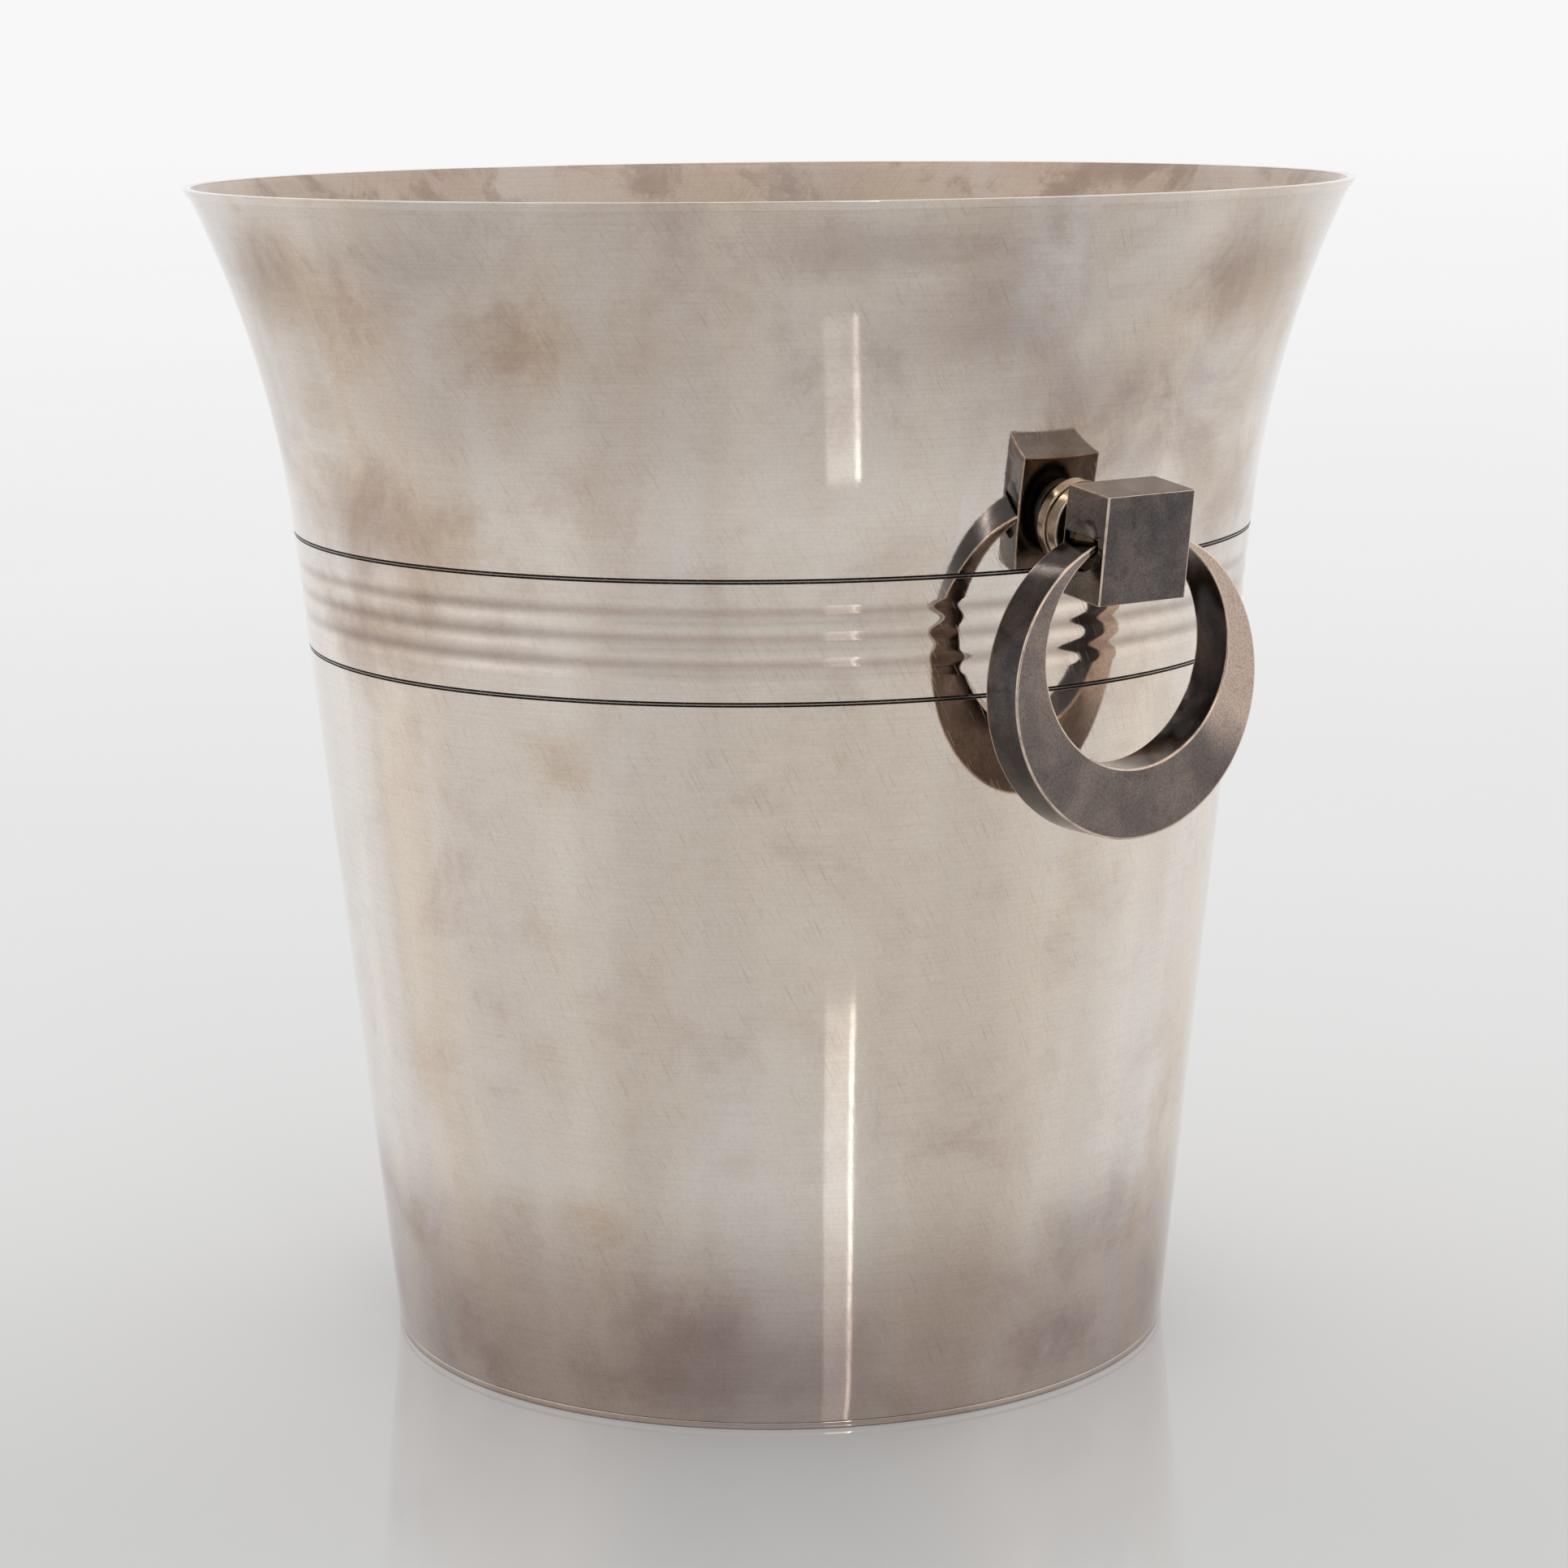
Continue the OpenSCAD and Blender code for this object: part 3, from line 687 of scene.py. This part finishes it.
def tarnishedSilver(name):
    f = Finish(name)
    big = f.noise(f.mapped(scale=(1, 1, 0.3)), 17, 4, 0.6, 0.5)
    middle = f.noise(f.mapped(move=(0.3, 0.1, 0.7)), 42, 6, 0.68, 0.4)
    fine = f.noise(f.mapped(move=(0.9, 0.4, 0.2)), 1500, 3, 0.75)
    flat = f.laidFlat()
    grain = f.noise(f.mapped(scale=(60, 3000, 1), source=flat), 1.0, 2, 0.6)
    colour = f.tint(f.ramp(big, 0.4, 0.64), polish["silver"], polish["warm"])
    colour = f.tint(f.ramp(middle, 0.46, 0.72), colour, polish["mottle"])
    colour = f.tint(f.ragged("brown", middle, polish["stainBreak"]), colour, polish["brown"])
    colour = f.tint(f.ragged("violet", middle, polish["stainBreak"]), colour, polish["violet"])
    colour = f.tint(f.mask("low"), colour, polish["low"])
    colour = f.tint(f.mask("flare"), colour, polish["flare"])
    colour = f.tint(f.ramp(fine, 0.38, 0.7), colour, polish["speck"])
    colour = f.tint(f.ramp(grain, 0.4, 0.7), colour, polish["grain"])
    # Painted reflection: soft vertical stripes round the wall, a little darker than the silver between them.
    paintedReflectionBands = f.noise(f.mapped(scale=(42, 1.6, 1), source=flat), 1.0, 2, 0.5)
    colour = f.tint(f.ramp(paintedReflectionBands, 0.38, 0.62), colour, polish["paintedReflectionBands"])
    scratched = f.maths("MULTIPLY", f.scratches(flat, 63, 120, 3800, 0.64), f.ramp(big, 0.35, 0.6))
    colour = f.tint(scratched, colour, polish["scratch"])
    colour = f.tint(f.mask("inside"), colour, polish["inside"])
    cloud = f.maths("MULTIPLY", f.mask("inside"), f.ramp(middle, 0.46, 0.58))
    colour = f.tint(cloud, colour, polish["insideCloud"])
    oxide = f.maths("MULTIPLY", f.mask("oxide"), f.ramp(fine, 0.2, 0.5, 0.8, 1))
    f.wire(f.mix(oxide, colour, polish["oxide"]), f.shader.inputs["Base Color"])
    f.shader.inputs["Metallic"].default_value = 1
    rough = f.ramp(middle, 0.35, 0.75, polish["roughness"], polish["roughness"] + polish["tarnishRoughness"])
    rough = f.maths("ADD", rough, f.maths("MULTIPLY", f.mask("inside"), polish["insideRoughness"]))
    rough = f.maths("ADD", rough, f.maths("MULTIPLY", oxide, polish["oxideRoughness"]))
    f.wire(rough, f.shader.inputs["Roughness"])
    wave = f.bump(f.noise(f.mapped(move=(0.2, 0.6, 0.1)), 24, 1, 0.4), polish["wave"])
    surface = f.bump(f.maths("SUBTRACT", fine, scratched), polish["fineBump"], wave)
    f.wire(surface, f.shader.inputs["Normal"])
    return f.material


# The handles: nearly black in the hollows, rubbed to a pinkish silver on the faces and bright on the edges,
# with painted light on the ring's faces and painted shade in the block's pockets.
darkFinish = dict(dark=(0.065, 0.065, 0.072), rubbed=(0.64, 0.50, 0.415), edge=(0.88, 0.70, 0.58),
                  spot=(0.60, 0.57, 0.58), fleck=(0.72, 0.69, 0.68), pocket=(0.05, 0.037, 0.022),
                  roughness=0.12, cloudRoughness=0.09, lineBump=0.000004, cloudBump=0.000008)


def oxidisedSilver(name):
    f = Finish(name)
    big = f.noise(f.place, 90, 4, 0.6, 0.5)
    middle = f.noise(f.mapped(move=(0.5, 0.2, 0.4)), 330, 5, 0.7)
    fine = f.noise(f.mapped(move=(0.1, 0.6, 0.3)), 2600, 2, 0.6)
    # Rubbing lightens the faces; on the ring this also carries painted light.
    rubAndLight = f.maths("ADD", f.mask("rubAndLight"), f.ramp(big, 0.35, 0.72, -0.04, 0.13))
    colour = f.mix(rubAndLight, darkFinish["dark"], darkFinish["rubbed"])
    colour = f.tint(f.ramp(middle, 0.52, 0.74, 0, 0.6), colour, darkFinish["spot"])
    colour = f.tint(f.ramp(fine, 0.4, 0.66), colour, darkFinish["fleck"])
    wear = f.maths("MULTIPLY", f.mask("wear"), f.ramp(middle, 0.3, 0.6, 0.45, 0.9))
    colour = f.mix(wear, colour, darkFinish["edge"])
    # Painted shade: the pockets of the block nearly black.
    colour = f.mix(f.mask("brass"), colour, darkFinish["pocket"])
    f.wire(colour, f.shader.inputs["Base Color"])
    f.shader.inputs["Metallic"].default_value = 1
    smooth = darkFinish["roughness"]
    rough = f.ramp(middle, 0.3, 0.7, smooth, smooth + darkFinish["cloudRoughness"])
    f.wire(rough, f.shader.inputs["Roughness"])
    line = f.noise(f.mapped(scale=(300, 2400, 900), turn=(0.3, 0.2, 0.5)), 1.0, 1)
    surface = f.bump(line, darkFinish["lineBump"], f.bump(middle, darkFinish["cloudBump"]))
    f.wire(surface, f.shader.inputs["Normal"])
    return f.material


# Collars, screws, washers and hinge bars: a gilt or brass colour gone dull in clouds.
gilt = dict(bright=(0.66, 0.55, 0.44), dull=(0.38, 0.30, 0.22), roughness=0.14)
brass = dict(bright=(0.58, 0.47, 0.30), dull=(0.28, 0.21, 0.12), roughness=0.22)
bronze = dict(bright=(0.15, 0.11, 0.065), dull=(0.06, 0.045, 0.03), roughness=0.28)


def wornGilt(name, colours):
    f = Finish(name)
    cloud = f.noise(f.place, 180, 5, 0.62, 0.4)
    fine = f.noise(f.mapped(move=(0.2, 0.7, 0.5)), 1200, 3, 0.6)
    colour = f.mix(f.ramp(cloud, 0.36, 0.68), colours["bright"], colours["dull"])
    colour = f.tint(f.ramp(fine, 0.56, 0.8, 0, 0.6), colour, polish["speck"])
    f.wire(colour, f.shader.inputs["Base Color"])
    f.shader.inputs["Metallic"].default_value = 1
    smooth = colours["roughness"]
    f.wire(f.ramp(cloud, 0.3, 0.7, smooth, smooth + 0.12), f.shader.inputs["Roughness"])
    f.wire(f.bump(fine, 0.000008), f.shader.inputs["Normal"])
    return f.material


wallFinish = tarnishedSilver("tarnished silver")
handleFinish = oxidisedSilver("oxidised silver")
collarFinish = wornGilt("worn silver gilt", gilt)
brassWork = wornGilt("bare brass", brass)
barFinish = wornGilt("blackened brass", bronze)
print("finishes made")


def settle(piece, body, slot, *nodes):
    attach(piece, body)
    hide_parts(*nodes)


settle(bucketWall(wallFinish), "bucket", "mirror_silver", "wall")
settle(rimBand(wallFinish), "bucket", "mirror_silver", "rim_band")
settle(footRing(wallFinish), "bucket", "mirror_silver", "foot_ring")
settle(baseDish(wallFinish), "bucket", "mirror_silver", "base_plate")
print("bucket built")

ringPoints, ringMasks = ringRows()
blockPoints, blockMasks = blockRows()
for side in ("right", "left"):
    place = turnedRound if side == "left" else (lambda grid: grid)
    ringPiece = makePiece("ring_crescent_" + side, [place(layGrid(ringPoints))], handleFinish, ringMasks)
    settle(ringPiece, "swing_" + side, "dark_silver", "ring_" + side)
    blockPiece = makePiece("block_cube_" + side, [place(layGrid(onWall(blockPoints))), place(neckGrid())],
                           handleFinish, blockMasks)
    settle(blockPiece, "bucket", "dark_silver", "block_" + side)
    collarPiece = makePiece("collar_turned_" + side, [place(collarGrid())], collarFinish)
    settle(collarPiece, "bucket", "worn_silver", "collar_" + side)
    washerPiece = makePiece("washer_saddle_" + side, [place(washerGrid())], brassWork)
    settle(washerPiece, "bucket", "bare_brass", "washer_" + side)
    screwPiece = makePiece("screw_slotted_" + side, [place(screwGrid())], brassWork)
    settle(screwPiece, "bucket", "bare_brass", "screw_" + side)
    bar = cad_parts["hinge_bar_" + side]
    bar.data.materials.clear()
    bar.data.materials.append(barFinish)
print("handles built")


table = dict(radius=9.0, front=0.685, middle=0.80, far=0.91, smudge=0.985,
             paintedFrontShade=(0.13, -0.06), paintedFarLight=(0.3, 2.6), roughness=0.04)


# Table: rings of quads round the axis. Its colour carries painted shade, greyer in front of the bucket, and
# painted light, nearly white far off.
def paleTable():
    f = Finish("pale table")
    distance = f.node("ShaderNodeVectorMath", operation="LENGTH")
    f.wire(f.place, distance.inputs[0])
    rootFade = (math.sqrt(away) for away in table["paintedFarLight"])
    fade = f.ramp(f.maths("POWER", distance.outputs["Value"], 0.5), *rootFade)
    forward = f.node("ShaderNodeSeparateXYZ")
    f.wire(f.mapped(turn=(0, 0, -math.radians(viewTurn))), forward.inputs[0])
    front, middle, far, smudge = ((table[key],) * 3 for key in ("front", "middle", "far", "smudge"))
    near = f.mix(f.ramp(forward.outputs["X"], *table["paintedFrontShade"]), front, middle)
    smudged = f.tint(f.ramp(f.noise(f.place, 4, 3), 0.3, 0.7), f.mix(fade, near, far), smudge)
    f.wire(smudged, f.shader.inputs["Base Color"])
    f.shader.inputs["Roughness"].default_value = table["roughness"]
    angle = np.arange(96) * fullTurn / 96
    radii = np.array([0.0001, 0.3, 1.0, 3.0, table["radius"]])[:, None] / mm
    rows = np.stack([radii * np.cos(angle), radii * np.sin(angle), np.full((5, 96), -0.05)], -1)
    makePiece("table", [layGrid(rows, "open")], f.material)


paleTable()

# A pane is (turn from the viewer, rise, width, height, power).
room = dict(white=0.94, behindViewer=0.32, windowAway=2.0,
            panes=((16.2, 27, 0.24, 0.52, 0.9), (19.9, 27, 0.035, 0.52, 0.5)))


# Room: even white, darker in the lower part behind the viewer.
# The darkening is the product of a ramp on how far a direction points to the viewer and one on how low it is.
def softRoom():
    world = bpy.data.worlds.new("soft room")
    bpy.context.scene.world = world
    world.use_nodes = True
    tree = world.node_tree

    def step(kind, **settings):
        made = tree.nodes.new(kind)
        for key, value in settings.items():
            setattr(made, key, value)
        return made

    def ranged(source, low, high):
        ramp = step("ShaderNodeMapRange", interpolation_type="SMOOTHSTEP")
        tree.links.new(source, ramp.inputs["Value"])
        ramp.inputs["From Min"].default_value, ramp.inputs["From Max"].default_value = low, high
        return ramp.outputs["Result"]
    direction = step("ShaderNodeTexCoord").outputs["Generated"]
    towards = step("ShaderNodeVectorMath", operation="DOT_PRODUCT")
    tree.links.new(direction, towards.inputs[0])
    a = math.radians(viewTurn)
    towards.inputs[1].default_value = (math.cos(a), math.sin(a), 0)
    upward = step("ShaderNodeSeparateXYZ")
    tree.links.new(direction, upward.inputs[0])
    darker = step("ShaderNodeMath", operation="MULTIPLY")
    tree.links.new(ranged(towards.outputs["Value"], 0.3, 1.0), darker.inputs[0])
    tree.links.new(ranged(upward.outputs["Z"], 0.9, 0.2), darker.inputs[1])
    blend = step("ShaderNodeMix", data_type="RGBA")
    tree.links.new(darker.outputs[0], blend.inputs[0])
    blend.inputs[6].default_value = (room["white"], room["white"], room["white"], 1)
    blend.inputs[7].default_value = (room["behindViewer"], room["behindViewer"], room["behindViewer"], 1)
    tree.links.new(blend.outputs[2], tree.nodes["Background"].inputs["Color"])


# Window: tall narrow lamps behind the viewer's right shoulder, turned to the bucket's middle.
def tallWindow():
    middle = Vector((0, 0, bucketTop / 2 * mm))
    for number, (turnDeg, riseDeg, wide, tall, power) in enumerate(room["panes"]):
        data = bpy.data.lights.new("window pane %d" % number, "AREA")
        data.shape = "RECTANGLE"
        data.size, data.size_y, data.energy = wide, tall, power
        lamp = bpy.data.objects.new("window pane %d" % number, data)
        bpy.context.scene.collection.objects.link(lamp)
        turn, rise = math.radians(viewTurn + turnDeg), math.radians(riseDeg)
        away = Vector((math.cos(turn) * math.cos(rise), math.sin(turn) * math.cos(rise), math.sin(rise)))
        lamp.location = middle + away * room["windowAway"]
        lamp.rotation_mode = "QUATERNION"
        lamp.rotation_quaternion = away.to_track_quat("Z", "Y")
        lamp.visible_camera = False


softRoom()
tallWindow()
bpy.context.scene.view_settings.view_transform = "Standard"

cameraFit = dict(distance=0.7325, height=0.2405, pitch=0.1867, yaw=0.0023, roll=-0.0099,
                 lens=89.940373, sensor=36.0)


# Camera: on a circle round the axis at the viewing azimuth, then turned by yaw, pitch and roll.
def makeCamera():
    data = bpy.data.cameras.new("camera")
    data.sensor_width = cameraFit["sensor"]
    data.lens = cameraFit["lens"]
    data.clip_start, data.clip_end = 0.01, 60
    camera = bpy.data.objects.new("camera", data)
    bpy.context.scene.collection.objects.link(camera)
    a = math.radians(viewTurn)
    out = Vector((math.cos(a), math.sin(a), 0))
    right = Vector((-math.sin(a), math.cos(a), 0))
    camera.location = out * cameraFit["distance"] + Vector((0, 0, cameraFit["height"]))
    yaw, pitch, roll = cameraFit["yaw"], cameraFit["pitch"], cameraFit["roll"]
    look = (-out * math.cos(yaw) + right * math.sin(yaw)) * math.cos(pitch) - Vector((0, 0, math.sin(pitch)))
    level = right * math.cos(yaw) + out * math.sin(yaw)
    up = level.cross(look)
    rolledRight = level * math.cos(roll) + up * math.sin(roll)
    rolledUp = up * math.cos(roll) - level * math.sin(roll)
    camera.matrix_world = Matrix((
        (rolledRight.x, rolledUp.x, -look.x, camera.location.x),
        (rolledRight.y, rolledUp.y, -look.y, camera.location.y),
        (rolledRight.z, rolledUp.z, -look.z, camera.location.z),
        (0, 0, 0, 1)))
    bpy.context.scene.camera = camera


makeCamera()
print("table, light and camera set")
